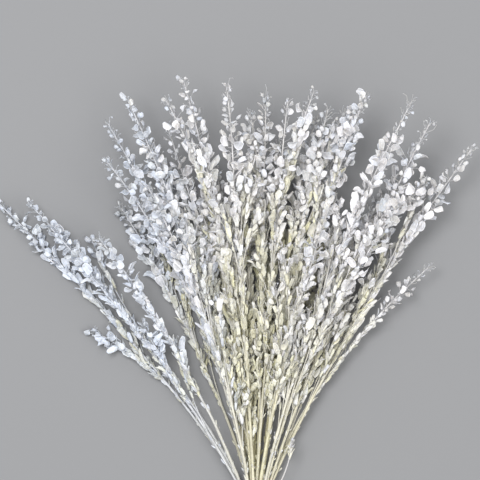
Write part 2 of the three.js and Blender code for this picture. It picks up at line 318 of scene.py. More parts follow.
# Raffia tie
TIE_TURNS = 26
TIE_STEPS = 96
STRIP_WIDTH = 3.2 * MM
STRIP_THICKNESS = 0.3 * MM
STRIP_SECTION = [(-1, 0.0), (-0.5, 1.0), (0.5, 1.0), (1, 0.0), (0.5, -0.6), (-0.5, -0.6)]
STRIP_SAG = 0.006
STRIP_WANDER = 0.9 * MM
STRIP_UNEVENNESS = 0.2
TIE_EDGE = 2 * MM
FIBRE_SHIFT = 7.3
HEADINGS = 361
LEAST_FACING = 0.2

# Studio: place, size, power and colour of each light, then the even light all round and the floor
KEY_LIGHT = ((-0.6, 0.85, 2.4), 1.2, 45, (0.99, 0.99, 1.0))
FILL_LIGHT = ((1.0, -0.1, 2.3), 1.6, 20, (1.0, 0.99, 0.97))
AMBIENT_COLOUR = (0.97, 0.98, 1.0, 1)
AMBIENT_STRENGTH = 0.72
FLOOR_HALF = 6.0
FLOOR_COLOUR = (0.245, 0.247, 0.252, 1)
FLOOR_ROUGHNESS = 0.9


def smoothstep(x, low, high):
    t = np.clip((np.asarray(x, float) - low) / (high - low), 0, 1)
    return t * t * (3 - 2 * t)


def mix(a, b, t):
    return a + (b - a) * t


def unit(v):
    return v / np.linalg.norm(v, axis=-1, keepdims=True)


def path_length(path):
    """The length of a path from its start to each of its points."""
    return np.concatenate([[0], np.cumsum(np.linalg.norm(np.diff(path, axis=0), axis=1))])


def along_path(path, share):
    """Points of a path, and its directions, at shares of its length."""
    length = path_length(path)
    at = share * length[-1]
    step = np.gradient(path, axis=0)
    point = np.stack([np.interp(at, length, path[:, axis]) for axis in range(3)], -1)
    return point, unit(np.stack([np.interp(at, length, step[:, axis]) for axis in range(3)], -1))


def bezier(start, turn, end, count):
    t = np.linspace(0, 1, count)[:, None]
    return start * (1 - t) ** 2 + 2 * turn * t * (1 - t) + end * t * t


def across(along):
    """Two directions across the way along."""
    side = unit(np.cross(along, UP))
    return side, np.cross(along, side)


def lean(along, out, angle):
    return along * np.cos(angle)[..., None] + out * np.sin(angle)[..., None]


class Geometry:
    """Collects the vertices and faces of one piece, with a place on the leaf and a tint for each vertex."""

    def __init__(self):
        self.points, self.leaf, self.tint = [], [], []
        self.faces, self.materials = [], []
        self.count = 0

    def add(self, points, faces, leaf, tint, material):
        self.points.append(points)
        self.leaf.append(leaf)
        self.tint.append(tint)
        for face in faces:
            rows = (np.asarray(face) + self.count).tolist()
            self.faces += rows
            self.materials += [material] * len(rows)
        self.count += len(points)

    def make(self, name, materials):
        mesh = bpy.data.meshes.new(name)
        mesh.from_pydata(np.concatenate(self.points).tolist(), [], self.faces)
        mesh.polygons.foreach_set("material_index", self.materials)
        mesh.polygons.foreach_set("use_smooth", [True] * len(self.faces))
        leaf = mesh.attributes.new("leaf", "FLOAT_VECTOR", "POINT")
        leaf.data.foreach_set("vector", np.concatenate(self.leaf).ravel())
        tint = mesh.attributes.new("tint", "FLOAT_COLOR", "POINT")
        colours = np.concatenate(self.tint)
        tint.data.foreach_set("color", np.c_[colours, np.ones(len(colours))].ravel())
        for material in materials:
            mesh.materials.append(material)
        piece = bpy.data.objects.new(name, mesh)
        bpy.context.scene.collection.objects.link(piece)
        return piece


class Room:
    """What is taken so far: the centres and sizes of pods and of stretches of stem."""

    def __init__(self, most):
        self.centres = np.zeros((most, 3))
        self.sizes = np.zeros(most)
        self.count = 0

    def take(self, centres, size):
        last = self.count + len(centres)
        self.centres[self.count : last] = centres
        self.sizes[self.count : last] = size
        self.count = last

    def near(self, points, most):
        """What is taken about some points, with space to take more."""
        taken = self.centres[: self.count]
        inside = ((taken > points.min(0) - NEARBY) & (taken < points.max(0) + NEARBY)).all(1)
        part = Room(int(inside.sum()) + most)
        part.take(taken[inside], self.sizes[: self.count][inside])
        return part

    def gaps(self, centres):
        return np.linalg.norm(centres[:, None] - self.centres[None, : self.count], axis=2)

    def crowding(self, centres, size):
        room = POD_ROOM * (size + self.sizes[: self.count])
        return np.clip(1 - self.gaps(centres) / room, 0, None).sum(1)


def tube_faces(rings, sides):
    """Quads of a tube of rings, outward, for rings that run counter-clockwise about the way along."""
    ring, side = np.meshgrid(np.arange(rings - 1), np.arange(sides), indexing="ij")
    a = ring * sides + side
    b = ring * sides + (side + 1) % sides
    return np.stack([a, b, b + sides, a + sides], -1).reshape(-1, 4)


def add_stem(geometry, points, radii, tints, sides=STEM_SIDES):
    """A ribbed stem along a path, with a hollow cut at its start and a closed tip."""
    along = unit(np.gradient(points, axis=0))
    side, over = across(along)
    angles = np.linspace(0, FULL_TURN, sides, endpoint=False)
    rim = np.cos(angles)[:, None] * side[:, None] + np.sin(angles)[:, None] * over[:, None]
    rim = rim * (1 + STEM_RIB * np.cos(angles * sides / 2))[:, None]
    rings = points[:, None] + radii[:, None, None] * rim
    edge_depth, middle_depth = PITH_DEPTHS
    pith = points[0] + along[0] * radii[0] * edge_depth + radii[0] * PITH_WIDTH * rim[0]
    rings = np.concatenate([pith[None], rings])
    ends = np.stack([points[0] + along[0] * radii[0] * middle_depth, points[-1] + along[-1] * radii[-1]])
    vertices = np.concatenate([rings.reshape(-1, 3), ends])
    last = (len(rings) - 1) * sides
    turn = np.arange(sides)
    after = (turn + 1) % sides
    start, tip = len(vertices) - 2, len(vertices) - 1
    caps = np.concatenate([
        np.stack([np.full(sides, start), after, turn], -1),
        np.stack([np.full(sides, tip), last + turn, last + after], -1),
    ])
    length = np.concatenate([[0], path_length(points)]) + points[0].sum() * STREAK_SHIFT
    turned = np.tile(np.stack([np.cos(angles), np.sin(angles)], -1), (len(rings), 1))
    leaf = np.c_[turned, np.repeat(length, sides)]
    leaf = np.concatenate([leaf, leaf[:1], leaf[-1:]])
    # Painted shade in the hollow at the cut: darker in its middle than at its edge
    edge_shade, middle_shade = HOLLOW_PAINTED_SHADES
    colour = np.repeat(np.concatenate([tints[:1] * edge_shade, tints])[:, None], sides, 1).reshape(-1, 3)
    colour = np.concatenate([colour, tints[:1] * middle_shade, tints[-1:]])
    geometry.add(vertices, [tube_faces(len(rings), sides), caps], leaf, colour, 0)


def add_stalks(geometry, roots, necks, first_way, last_way, radii, tints):
    """Thin wiry stalks, each from the stem to its pod, that turn from one way to another."""
    sides, rings = 3, 4
    t = np.linspace(0, 1, rings)[None, :, None]
    reach = np.linalg.norm(necks - roots, axis=1)[:, None]
    ends = roots, roots + first_way * reach * STALK_BEND, necks - last_way * reach * STALK_BEND, necks
    a, b, c, d = (point[:, None] for point in ends)
    points = a * (1 - t) ** 3 + 3 * b * t * (1 - t) ** 2 + 3 * c * t * t * (1 - t) + d * t**3
    along = unit(np.gradient(points, axis=1))
    side, over = across(along + OFF_UPRIGHT)
    angles = np.linspace(0, FULL_TURN, sides, endpoint=False)
    rim = np.cos(angles)[:, None] * side[:, :, None] + np.sin(angles)[:, None] * over[:, :, None]
    taper = np.linspace(*STALK_TAPER, rings)[None, :, None, None]
    tube = points[:, :, None] + radii[:, None, None, None] * taper * rim
    tube[..., 2] = np.maximum(tube[..., 2], FLOOR_GAP)
    count = rings * sides
    faces = tube_faces(rings, sides)[None] + (np.arange(len(roots)) * count)[:, None, None]
    leaf = np.zeros((len(roots) * count, 3))
    leaf[:, 2] = np.tile(np.repeat(np.linspace(0, STALK_STREAK, rings), sides), len(roots))
    geometry.add(tube.reshape(-1, 3), [faces.reshape(-1, 4)], leaf, np.repeat(tints, count, 0), 0)


def add_pods(geometry, rng, pods, rings, sides):
    """Flat oval pods: a thin lens with a raised rim, creased, cupped and twisted, each in its own way."""
    count = len(pods["neck"])
    theta = np.linspace(0, FULL_TURN, sides, endpoint=False)
    radius, height = np.array(rings).T
    rho = np.concatenate([[0], np.repeat(radius, sides), [0]])
    lift = np.concatenate([[1], np.repeat(height, sides), [-1]]) * POD_THICKNESS
    angle = np.concatenate([[0], np.tile(theta, len(radius)), [0]])
    base = 1 + int(np.argmax(radius)) * sides + sides // 2

    def draw(low, high):
        return rng.uniform(low, high, (count, 1))

    long, half = pods["length"][:, None], pods["half"][:, None]
    edge = np.zeros((count, len(rho)))
    for lobes, amount in POD_LOBES:
        edge += draw(-amount, amount) * np.cos(lobes * angle + draw(0, FULL_TURN))
    from_tip = np.angle(np.exp(1j * angle))
    edge = 1 + edge * smoothstep(math.pi - np.abs(from_tip), 0.0, 1.0)
    notch = draw(*NOTCH_DEPTH) * np.exp(-((from_tip / NOTCH_WIDTH) ** 2)) * rho**4
    x = 0.5 + 0.5 * rho * blunt(np.cos(angle)) * edge + notch
    y = rho * blunt(np.sin(angle)) * edge * (1 + draw(*POD_TAPER) * (x - 0.5))

    fold = np.where(rng.random((count, 1)) < pods["folded"][:, None], draw(*FOLD_SLOPE), 0)
    bulge = fold * np.abs(y - draw(-FOLD_SHIFT, FOLD_SHIFT)) + draw(*POD_CUP) * y**2
    for waves, amount in POD_WAVES:
        bulge = bulge + draw(0, amount) * rho**3 * np.sin(waves * angle + draw(0, FULL_TURN))
    for _ in range(CREASES):
        heading = draw(0, math.pi)
        from_crease = (2 * x - 1) * np.cos(heading) + y * np.sin(heading) - draw(-FOLD_SHIFT, FOLD_SHIFT)
        bulge = bulge + draw(-CREASE_SLOPE, CREASE_SLOPE) * np.abs(from_crease)
    bulge = bulge - bulge[:, base : base + 1]
    bend = np.clip(rng.normal(0, POD_BEND, (count, 1)), -MOST_BEND, MOST_BEND)
    thickness = np.clip(half / FULL_THICKNESS_HALF_WIDTH, LEAST_THICKNESS, 1)
    z = lift * thickness + half * bulge + long * bend * x**2
    y = y * half / np.sqrt(1 + fold**2)
    twist = rng.normal(0, POD_TWIST, (count, 1)) * x
    y, z = y * np.cos(twist) - z * np.sin(twist), y * np.sin(twist) + z * np.cos(twist)
    places = ((x * long, pods["way"]), (y, pods["wing"]), (z, pods["face"]))
    points = pods["neck"][:, None] + sum(amount[..., None] * way[:, None] for amount, way in places)
    floor = FLOOR_GAP + POD_THICKNESS + lift * np.where(pods["face"][:, 2:] < 0, -1, 1)
    points[..., 2] = np.maximum(points[..., 2], floor)

    size = len(rho)
    turn = np.arange(sides)
    after = (turn + 1) % sides
    last = 1 + (len(radius) - 1) * sides
    caps = np.concatenate([
        np.stack([np.zeros(sides, int), 1 + turn, 1 + after], -1),
        np.stack([np.full(sides, size - 1), last + after, last + turn], -1),
    ])
    start = (np.arange(count) * size)[:, None, None]
    ring = tube_faces(len(radius), sides)[:, [0, 3, 2, 1]] + 1
    leaf = np.stack([np.cos(angle) * rho, np.sin(angle) * rho, np.zeros(size)], -1)
    leaf = np.tile(leaf, (count, 1))
    leaf[:, 2] = np.repeat(rng.random(count), size)
    faces = [(ring[None] + start).reshape(-1, 4), (caps[None] + start).reshape(-1, 3)]
    geometry.add(points.reshape(-1, 3), faces, leaf, np.repeat(pods["tint"], size, 0), 1)


def blunt(wave):
    """Fills out a circle's cosine or sine, so that an oval gets blunt ends and sides."""
    return np.sign(wave) * np.abs(wave) ** POD_BLUNT


def outward(share, arch):
    """How far out a stem is at a share of its way: it turns at the tie, then runs straight or arches."""
    straight = (np.hypot(share, TIE_TURN) - TIE_TURN) / (math.hypot(1, TIE_TURN) - TIE_TURN)
    return mix(straight, share * share, arch)


def stem_path(place, tip, arch, cut, rng):
    """Points from the cut end through the tie to the tip, and each one's share of the way from the tie."""
    below = np.linspace(cut, -HELD_STRAIGHT, POINTS_BELOW_TIE)
    wider = 1 + CUT_SPREAD * (below + HELD_STRAIGHT) / (cut + HELD_STRAIGHT)
    low = np.stack([place[0] * wider, below, BUNDLE_HEIGHT + (place[1] - BUNDLE_HEIGHT) * wider], -1)
    held = np.linspace(-HELD_STRAIGHT, HELD_STRAIGHT, POINTS_IN_TIE + 2)[1:-1]
    middle = np.stack([np.full(POINTS_IN_TIE, place[0]), held, np.full(POINTS_IN_TIE, place[1])], -1)
    reach = math.dist((place[0], 0), tip[:2])
    share = np.linspace(0, 1 - TIP_ROOM / reach, int(reach / STEM_STEP))
    high = np.stack([
        mix(place[0], tip[0], outward(share, arch)),
        mix(HELD_STRAIGHT, tip[1], share),
        mix(place[1], tip[2], outward(share, LIFT_ARCH)),
    ], -1)
    loose = smoothstep(share, *LOOSE)
    for axis in (0, 2):
        phase, pace = rng.uniform(0, FULL_TURN), rng.uniform(*WOBBLE_PACE)
        high[:, axis] += WOBBLE * loose * np.sin(pace * share + phase) * rng.uniform(*WOBBLE_SHARE)
    shares = np.concatenate([np.zeros(len(low) + len(middle)), share])
    return np.concatenate([low, middle, high]), shares


def fork_path(upper, tip, leaves_at, tip_height):
    """A side branch that starts along its stem and turns to its own tip."""
    start, along = along_path(upper, np.array([leaves_at]))
    end = np.array((*tip, mix(start[0, 2], tip_height, FORK_LIFT)))
    reach = np.linalg.norm(end - start[0])
    return bezier(start[0], start[0] + along[0] * FORK_TURN * reach, end, int(reach / STEM_STEP))


def shoot_path(upper, leaves_at, inward, room, rng):
    """A short side shoot that leaves its stem at a slant, to the freest of a few places tried."""
    start, along = along_path(upper, np.array([leaves_at]))
    side, over = across(along)
    best, best_gap = None, -1
    for _ in range(SHOOTS_TRIED):
        reach, angle = rng.uniform(*SHOOT_LENGTH), rng.uniform(*SHOOT_ANGLE)
        turn = rng.uniform(0, FULL_TURN)
        out = side[0] * math.cos(turn) + over[0] * math.sin(turn) * SHOOT_FLATNESS
        if inward * out[0] < 0:
            out = -out
        end = start[0] + reach * unit(along[0] * math.cos(angle) + out * math.sin(angle))
        end[2] = max(end[2], FLOOR_ROOM)
        path = bezier(start[0], start[0] + along[0] * SHOOT_TURN * reach, end, int(reach / SHOOT_STEP) + 2)
        gap = room.gaps(path[len(path) // 2 :]).min()
        if gap > best_gap:
            best, best_gap = path, gap
    return best


def pod_places(count, rng):
    """Places from 0 to 1 along a leafy part: few at its foot, most in the middle, fewer near the tip."""
    t = np.linspace(0, 1, PLACE_STEPS)
    density = FOOT_DENSITY + smoothstep(t, *DENSE) * mix(1, TIP_DENSITY, smoothstep(t, *THINNED))
    filled = np.concatenate([[0], np.cumsum(density[1:] + density[:-1])])
    spaced = (np.arange(count) + rng.uniform(0, PLACE_SPREAD, count)) / count
    return np.interp(spaced, filled / filled[-1], t)


def plan_pods(path, first, rng, pitch=POD_PITCH, tuft=TUFT_BUDS, scale=1.0, spread=1.0, most_open=1.0):
    """Pods along a branch: slim and close below, broad and well out above, with buds at the tip."""
    count = int(path_length(path)[-1] * (1 - first) / pitch)
    t = np.concatenate([pod_places(count, rng), rng.uniform(TUFT_FROM, 1.0, tuft)])
    bud = np.arange(len(t)) >= count
    root, along = along_path(path, mix(first, 1.0, t))
    opened = most_open * smoothstep(t, *OPENED)
    young = smoothstep(t, YOUNG_FROM, 1.0)
    wispy = rng.random()
    grown = mix(FOOT_SIZE, 1, smoothstep(t, *GROWN)) * mix(1, mix(*YOUNG_SIZE, wispy), young)
    size = scale * grown * np.clip(rng.normal(1, SIZE_SPREAD, len(t)), *SIZE_LIMITS)
    fallen = rng.random(len(t)) < mix(FALLEN, mix(*FALLEN_AT_TIP, wispy), young)
    size = np.where(bud | fallen, rng.uniform(*BUD_SIZE, len(t)), size)
    slim = mix(*OPEN_WIDTH, opened) * np.where(bud, BUD_WIDTH, 1) * rng.uniform(*WIDTH_SPREAD, len(t))
    stalk = STALK_LENGTH * spread * mix(*OPEN_STALK, opened) * mix(1, YOUNG_STALK, young)
    dangling = rng.random(len(t)) < DANGLING * opened
    long_share, usual_share = rng.uniform(*DANGLING_STALK, len(t)), rng.uniform(*STALK_SPREAD, len(t))
    stalk = stalk * np.where(dangling, long_share, usual_share)
    stalk = stalk * np.where(fallen, mix(1, BARE_STALK, young), 1)
    blade_angle = mix(*BLADE_ANGLE, opened) + rng.normal(0, mix(*BLADE_SPREAD, opened))
    blade_angle = np.where(fallen, rng.uniform(*BARE_CURL, len(t)), blade_angle)
    stalk = np.where(bud, rng.uniform(*BUD_STALK, len(t)) * MM, stalk)
    stalk_angle = mix(*STALK_ANGLE, opened) + rng.normal(0, STALK_ANGLE_SPREAD, len(t))
    blade_angle = np.where(bud, rng.uniform(*BUD_ANGLE, len(t)), blade_angle)
    turn = np.arange(len(t)) * GOLDEN_ANGLE + rng.normal(0, TURN_SPREAD, len(t))
    return {
        "t": t * most_open,
        "root": root,
        "along": along,
        "length": POD_LENGTH * size * mix(*OPEN_LENGTH, opened),
        "half": 0.5 * POD_WIDTH * size * slim,
        "stalk": stalk,
        "stalk_angle": stalk_angle - YOUNG_STALK_TURN * young,
        "blade_angle": blade_angle,
        "turn": turn + rng.uniform(0, FULL_TURN),
        "folded": mix(*FOLDED, opened),
    }


def plan_bracts(path, first, rng):
    """Dry leaf remains that lie close to the bare foot of a stem."""
    count = int(path_length(path)[-1] * first / BRACT_PITCH)
    share = rng.uniform(BRACTS_FROM, first, count)
    root, along = along_path(path, share)
    return {
        "t": np.zeros(count),
        "root": root,
        "along": along,
        "length": rng.uniform(*BRACT_LENGTH, count),
        "half": rng.uniform(*BRACT_HALF_WIDTH, count),
        "stalk": np.full(count, STEM_RADIUS_TIE),
        "stalk_angle": np.full(count, BRACT_STALK_ANGLE),
        "blade_angle": np.clip(rng.normal(BRACT_ANGLE, BRACT_SPREAD, count), *BRACT_ANGLE_LIMITS),
        "turn": rng.uniform(0, FULL_TURN, count),
        "folded": np.full(count, BRACT_FOLDED),
    }


def settle_turns(plan, room, rng):
    """Turns each pod round its stem to the side, of a few tried, with the most room."""
    side, over = across(plan["along"])
    tries = np.linspace(0, FULL_TURN, SIDES_TRIED, endpoint=False)
    tries[1:] += rng.normal(0, SIDE_SPREAD, SIDES_TRIED - 1)
    turning = KEEP_TURN * np.arange(SIDES_TRIED) / SIDES_TRIED
    ones = np.ones(SIDES_TRIED)
    nearby = room.near(plan["root"], len(plan["root"]))
    before = nearby.count
    for i, along in enumerate(plan["along"]):
        turn = plan["turn"][i] + tries
        out = np.cos(turn)[:, None] * side[i] + np.sin(turn)[:, None] * over[i]
        neck = plan["root"][i] + plan["stalk"][i] * lean(along, out, plan["stalk_angle"][i] * ones)
        centre = neck + 0.5 * plan["length"][i] * lean(along, out, plan["blade_angle"][i] * ones)
        crowding = nearby.crowding(centre, plan["length"][i])
        crowding += np.clip(1 - centre[:, 2] / FLOOR_ROOM, 0, None) + turning
        best = int(np.argmin(crowding))
        plan["turn"][i] = turn[best]
        nearby.take(centre[best : best + 1], plan["length"][i])
    room.take(nearby.centres[before:], nearby.sizes[before:])


def place_pods(plan, rng):
    """The way each stalk leaves its stem, and each pod's neck, way along, wing and face."""
    side, over = across(plan["along"])
    turn = plan["turn"][:, None]
    out = np.cos(turn) * side + np.sin(turn) * over
    stalk_way = lean(plan["along"], out, plan["stalk_angle"])
    straying = mix(*STRAY, smoothstep(plan["t"], *OPENED))
    stray = rng.normal(0, 1, out.shape) * straying[:, None]
    way = unit(lean(plan["along"], out, plan["blade_angle"]) + stray)
    neck = plan["root"] + plan["stalk"][:, None] * stalk_way
    neck[:, 2] = np.maximum(neck[:, 2], LOWEST_NECK)
    face = lean(plan["along"], out, plan["blade_angle"] + math.pi / 2)
    wing = unit(np.cross(face, way))
    face = np.cross(way, wing)
    to_up = np.arctan2(wing[:, 2], face[:, 2])
    roll = FACING_UP * np.clip(to_up, -MOST_ROLL, MOST_ROLL) + rng.normal(0, ROLL_SPREAD, len(to_up))
    roll = roll[:, None]
    wing, face = wing * np.cos(roll) - face * np.sin(roll), face * np.cos(roll) + wing * np.sin(roll)
    return stalk_way, {"neck": neck, "way": way, "wing": wing, "face": face}


def tint_pods(t, cool, warmth, straw, rng):
    """Colours of pods and their stalks: cream and straw at the foot of a branch, cool white at its tip,
    with a painted cast of cool light on the left.
    """
    warm = mix(*POD_WARMTH, smoothstep(t, *POD_WHITENS)) + mix(warmth, 0.0, smoothstep(t, *ALIKE_AT_TIP))
    warm = np.clip(warm + rng.normal(0, mix(*WARMTH_SPREAD, smoothstep(t, *SPREAD_NARROWS))), 0, 1)
    # cool brings in the painted cast of cool light on the left; pods also turn cooler towards their tip
    cold = cool + COOL_AT_TIP * smoothstep(t, *POD_COOLS) + rng.normal(0, COOL_SPREAD, len(t))
    white = mix(SOFT_WHITE, COOL_WHITE, np.clip(cold, 0, 1)[:, None])
    tint = mix(white, WARM_WHITE, warm[:, None]) * rng.uniform(*POD_SHADES, (len(t), 1))
    tint = tint * mix(1.0, TIP_SHADE, smoothstep(t, *TIP_DARKENS))[:, None]
    yellow = mix(*STALK_YELLOW, smoothstep(t, *STALK_WHITENS)) + rng.normal(0, STALK_YELLOW_SPREAD, len(t))
    yellow = np.clip(yellow, 0, 1)[:, None]
    stalk_tint = mix(white, straw, yellow) * rng.uniform(*STALK_SHADES, (len(t), 1))
    return tint, stalk_tint


def grow_pods(geometry, plan, cool, warmth, straw, rng):
    """The stalks and pods of one branch."""
    stalk_way, pods = place_pods(plan, rng)
    pods["tint"], stalk_tint = tint_pods(plan["t"], cool, warmth, straw, rng)
    ends = pods["neck"] + pods["way"] * STALK_IN_POD
    radii = STALK_RADIUS * np.clip(plan["length"] / POD_LENGTH, *STALK_RADIUS_LIMITS)
    add_stalks(geometry, plan["root"], ends, stalk_way, pods["way"], radii, stalk_tint)
    pods |= {key: plan[key] for key in ("length", "half", "folded")}
    bud = plan["length"] < BUD_LENGTH
    fine = ~bud & (plan["half"] > FINE_HALF_WIDTH)
    plain = ~bud & ~fine & (plan["half"] > PLAIN_HALF_WIDTH)
    forms = [
        (fine, FINE_RINGS, FINE_SIDES),
        (plain, PLAIN_RINGS, PLAIN_SIDES),
        (~bud & ~fine & ~plain, BUD_RINGS, SLIM_SIDES),
        (bud, BUD_RINGS, BUD_SIDES),
    ]
    for chosen, rings, sides in forms:
        if chosen.any():
            add_pods(geometry, rng, {key: value[chosen] for key, value in pods.items()}, rings, sides)


def stem_radii(shares, points, rng):
    """Radius along a stem: thickest at the cut, thin at the tip, with small swellings at its joints."""
    thick = rng.uniform(*STEM_THICKNESS_SPREAD)
    grown = mix(STEM_RADIUS_TIE * thick, STEM_RADIUS_TIP, shares**STEM_TAPER)
    cut = np.clip(points[:, 1] / points[0, 1], 0, 1)
    base = np.where(points[:, 1] < 0, mix(STEM_RADIUS_TIE, STEM_RADIUS_CUT, cut) * thick, grown)
    turn = path_length(points) / JOINT_PITCH * FULL_TURN + rng.uniform(0, FULL_TURN)
    shift, pace = JOINT_UNEVENNESS
    joint = np.exp(JOINT_SHARPNESS * (np.cos(turn + shift * np.sin(pace * turn)) - 1))
    return base * (BETWEEN_JOINTS + JOINT_SWELLING * joint * smoothstep(shares, *JOINTED))


def stem_tints(shares, cool, bleached, straw):
    """Colour along a stem: straw below and white above, with less yellow on the right and, as a painted
    cast of cool light, bluer and less yellow on the left.
    """
    white = mix(SOFT_WHITE, COOL_WHITE, STEM_COOL_LIGHT * cool) * STEM_SHADE
    yellow = np.clip(mix(*STEM_YELLOW, smoothstep(shares, *STEM_WHITENS)) - bleached, 0, 1)[:, None]
    return mix(white, straw, yellow)


def node_material(name):
    material = bpy.data.materials.new(name)
    material.use_nodes = True
    tree = material.node_tree
    return material, tree, tree.nodes["Principled BSDF"]


def add_node(tree, kind, inputs=None, **settings):
    """A node with settings, whose inputs are values or sockets."""
    made = tree.nodes.new(kind)
    for key, value in settings.items():
        setattr(made, key, value)
    for key, value in (inputs or {}).items():
        if isinstance(value, bpy.types.NodeSocket):
            tree.links.new(value, made.inputs[key])
        else:
            made.inputs[key].default_value = value
    return made


def math_node(tree, operation, a, b=0.0):
    return add_node(tree, "ShaderNodeMath", {0: a, 1: b}, operation=operation).outputs[0]


def vector_node(tree, operation, a, b=(0, 0, 0), output="Vector"):
    return add_node(tree, "ShaderNodeVectorMath", {0: a, 1: b}, operation=operation).outputs[output]


def ramp(tree, value, low, high, to_low=0.0, to_high=1.0):
    inputs = {"Value": value, "From Min": low, "From Max": high, "To Min": to_low, "To Max": to_high}
    return add_node(tree, "ShaderNodeMapRange", inputs, interpolation_type="SMOOTHSTEP").outputs[0]


def noise(tree, place, scale, detail, roughness=0.5):
    inputs = {"Vector": place, "Scale": scale, "Detail": detail, "Roughness": roughness}
    return add_node(tree, "ShaderNodeTexNoise", inputs).outputs["Fac"]


def attribute(tree, name, output):
    return add_node(tree, "ShaderNodeAttribute", attribute_name=name).outputs[output]


def object_place(tree):
    return add_node(tree, "ShaderNodeTexCoord").outputs["Object"]


def paint(tree, shader, tint, grey):
    """Base colour: a tint times a grey value."""
    tree.links.new(vector_node(tree, "MULTIPLY", tint, grey), shader.inputs["Base Color"])


def emboss(tree, shader, height, strength, depth):
    bump = add_node(tree, "ShaderNodeBump", {"Height": height, "Strength": strength, "Distance": depth})
    tree.links.new(bump.outputs[0], shader.inputs["Normal"])


def pod_material():
    """Bleached paper-thin pod: thicker pale rim and partition line, greyer skin between, fine creases."""
    rim_edges = (0.74, 0.9)
    line_edges, line_strength = (0.03, 0.12), 0.35
    creases = {"scale": 520, "detail": 4, "roughness": 0.6}
    crease_edges, crease_strength = (0.52, 0.7), 0.45
    blotches = {"scale": 130, "detail": 2}
    blotch_edges, blotch_greys = (0.3, 0.7), (0.9, 1.05)
    skin_greys = (0.68, 0.97)
    cell_scale = 270.0
    thick_height, crease_height = 0.15, 0.35
    bump_strength, bump_depth = 0.8, 1.1 * MM
    skin_roughness, thick_roughness = 0.5, 0.68

    material, tree, shader = node_material("bleached_pod")
    leaf = attribute(tree, "leaf", "Vector")
    place = object_place(tree)
    radius = vector_node(tree, "LENGTH", vector_node(tree, "MULTIPLY", leaf, (1, 1, 0)), output="Value")
    leaf_parts = add_node(tree, "ShaderNodeSeparateXYZ", {0: leaf}).outputs
    rim = ramp(tree, radius, *rim_edges)
    partition = ramp(tree, math_node(tree, "ABSOLUTE", leaf_parts["Y"]), *line_edges, line_strength, 0.0)
    crease = noise(tree, place, **creases)
    blotch = noise(tree, place, **blotches)
    thick = math_node(tree, "MAXIMUM", rim, partition)
    thick = math_node(tree, "ADD", thick, ramp(tree, crease, *crease_edges, 0.0, crease_strength))
    skin = ramp(tree, leaf_parts["Z"], 0.0, 1.0, *skin_greys)
    grey = ramp(tree, thick, 0.0, 1.0, skin, 1.0)
    grey = math_node(tree, "MULTIPLY", grey, ramp(tree, blotch, *blotch_edges, *blotch_greys))
    paint(tree, shader, attribute(tree, "tint", "Color"), grey)
    cells = add_node(tree, "ShaderNodeTexVoronoi", {"Vector": place, "Scale": cell_scale})
    raised = math_node(tree, "MULTIPLY", thick, thick_height)
    creased = math_node(tree, "MULTIPLY", crease, crease_height)
    height = math_node(tree, "ADD", math_node(tree, "ADD", raised, creased), cells.outputs["Distance"])
    emboss(tree, shader, height, bump_strength, bump_depth)
    roughness = ramp(tree, thick, 0.0, 1.0, skin_roughness, thick_roughness)
    tree.links.new(roughness, shader.inputs["Roughness"])
    shader.inputs["Specular IOR Level"].default_value = 0.35
    shader.inputs["Subsurface Weight"].default_value = 0.3
    shader.inputs["Subsurface Radius"].default_value = (1.0, 0.9, 0.75)
    shader.inputs["Subsurface Scale"].default_value = 1.0 * MM
    return material


def stem_material():
    """Dry straw: long streaks and fine ribs along the stem."""
    streak_stretch, fibre_stretch = (1.5, 1.5, 40), (5, 5, 60)
    strands = {"scale": 1, "detail": 3, "roughness": 0.6}
    strand_edges, streak_greys, fibre_greys = (0.32, 0.68), (0.68, 1.0), (0.72, 1.06)
    specks = {"scale": 420, "detail": 2}
    speck_edges, speck_greys, speck_height = (0.3, 0.7), (0.9, 1.04), 0.3
    bump_strength, bump_depth = 0.7, 0.5 * MM

    material, tree, shader = node_material("bleached_stem")
    leaf = attribute(tree, "leaf", "Vector")
    streak = noise(tree, vector_node(tree, "MULTIPLY", leaf, streak_stretch), **strands)
    fibre = noise(tree, vector_node(tree, "MULTIPLY", leaf, fibre_stretch), **strands)
    speck = noise(tree, object_place(tree), **specks)
    grey = ramp(tree, streak, *strand_edges, *streak_greys)
    grey = math_node(tree, "MULTIPLY", grey, ramp(tree, fibre, *strand_edges, *fibre_greys))
    grey = math_node(tree, "MULTIPLY", grey, ramp(tree, speck, *speck_edges, *speck_greys))
    paint(tree, shader, attribute(tree, "tint", "Color"), grey)
    height = math_node(tree, "ADD", fibre, math_node(tree, "MULTIPLY", speck, speck_height))
    emboss(tree, shader, height, bump_strength, bump_depth)
    shader.inputs["Roughness"].default_value = 0.6
    shader.inputs["Specular IOR Level"].default_value = 0.35
    return material


def raffia_material():
    """Dry raffia: split fibres along each strip."""
    fibre_stretch = (60, 14, 1)
    fibres = {"scale": 1, "detail": 4, "roughness": 0.65}
    fibre_edges, fibre_greys = (0.25, 0.75), (0.6, 1.1)
    bump_strength, bump_depth = 0.7, 0.3 * MM

    material, tree, shader = node_material("raffia")
    leaf = attribute(tree, "leaf", "Vector")
    fibre = noise(tree, vector_node(tree, "MULTIPLY", leaf, fibre_stretch), **fibres)
    paint(tree, shader, attribute(tree, "tint", "Color"), ramp(tree, fibre, *fibre_edges, *fibre_greys))
    emboss(tree, shader, fibre, bump_strength, bump_depth)
    shader.inputs["Roughness"].default_value = 0.7
    shader.inputs["Specular IOR Level"].default_value = 0.3
    return material


def bundle_places():
    """Where each stem stands in the tie, from the bundle's middle, layer by layer."""
    rise = (len(LAYERS) - 1) / 2
    return [
        [((i - (len(specs) - 1) / 2) * STEM_PITCH, (level - rise) * STEM_PITCH) for i in range(len(specs))]
        for level, (_, specs) in enumerate(LAYERS)
    ]


